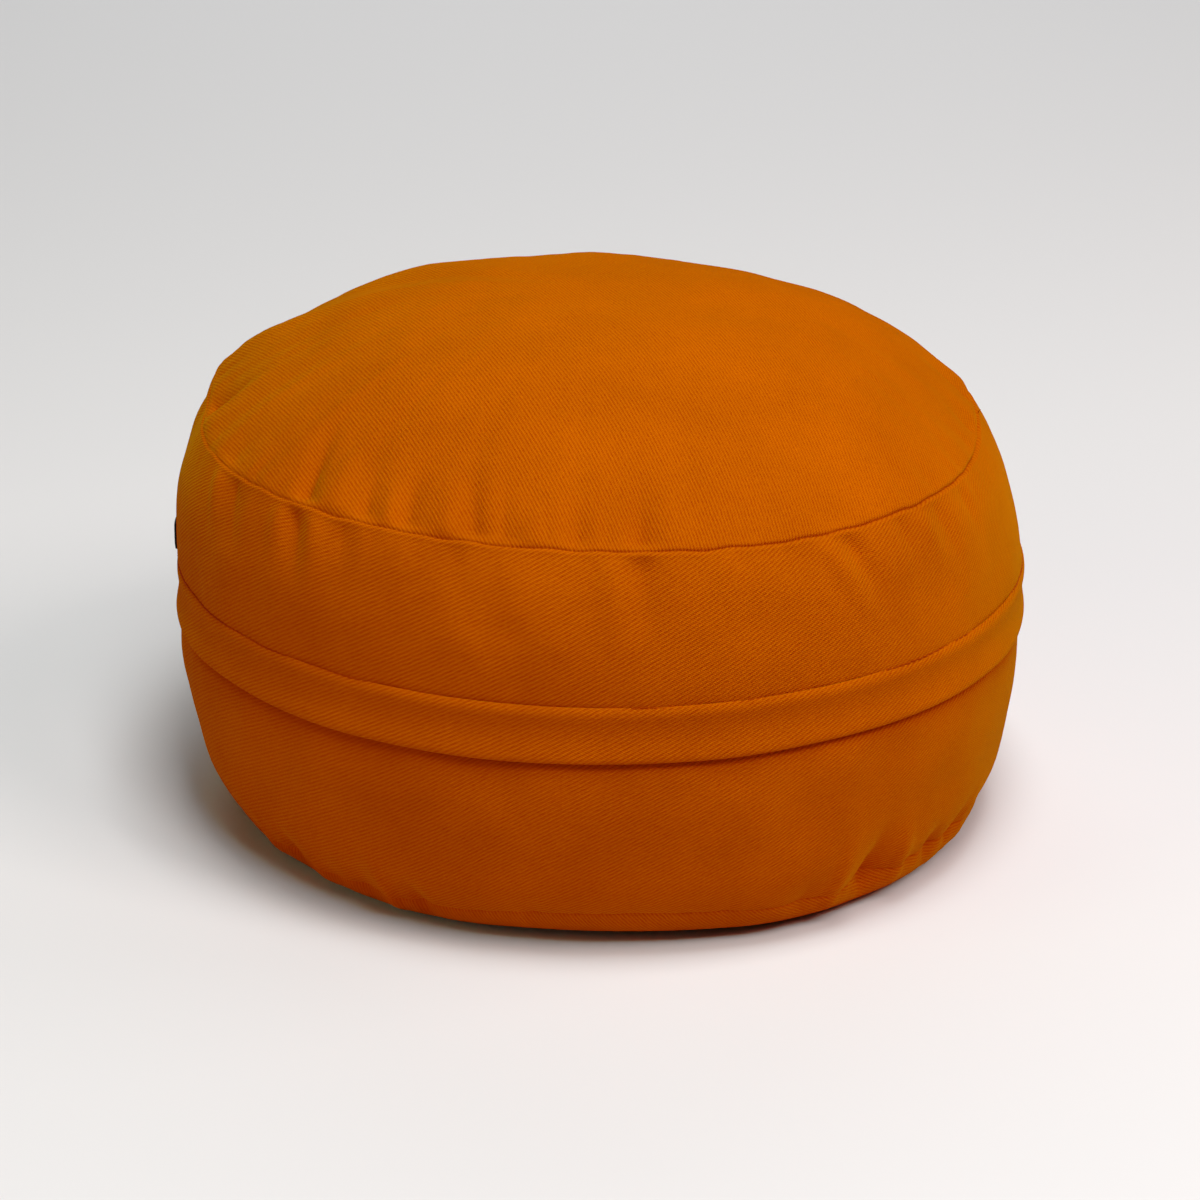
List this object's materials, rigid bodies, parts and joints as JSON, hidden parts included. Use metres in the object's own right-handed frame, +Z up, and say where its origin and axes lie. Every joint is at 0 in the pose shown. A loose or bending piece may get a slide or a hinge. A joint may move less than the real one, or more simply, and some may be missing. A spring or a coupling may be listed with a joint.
{
  "type": "meditation cushion",
  "caption": "Round meditation cushion in orange cotton twill, domed on top, with a gathered side band and a stitched flap running round it.",
  "frame": {"origin": "on the floor, under the middle of the cushion's box", "axes": "+Z up through the crown, -Y towards the pictured front, +X to the right of the picture"},
  "size_m": [0.3307, 0.3302, 0.2055],
  "materials": {
    "orange_twill": "matt heavy cotton twill with a fine diagonal rib",
    "navy_ribbon": "plain woven dark navy ribbon"
  },
  "bodies": {
    "root": {"cushion": "orange_twill", "flap": "orange_twill", "side_label": "navy_ribbon"}
  },
  "joints": []
}
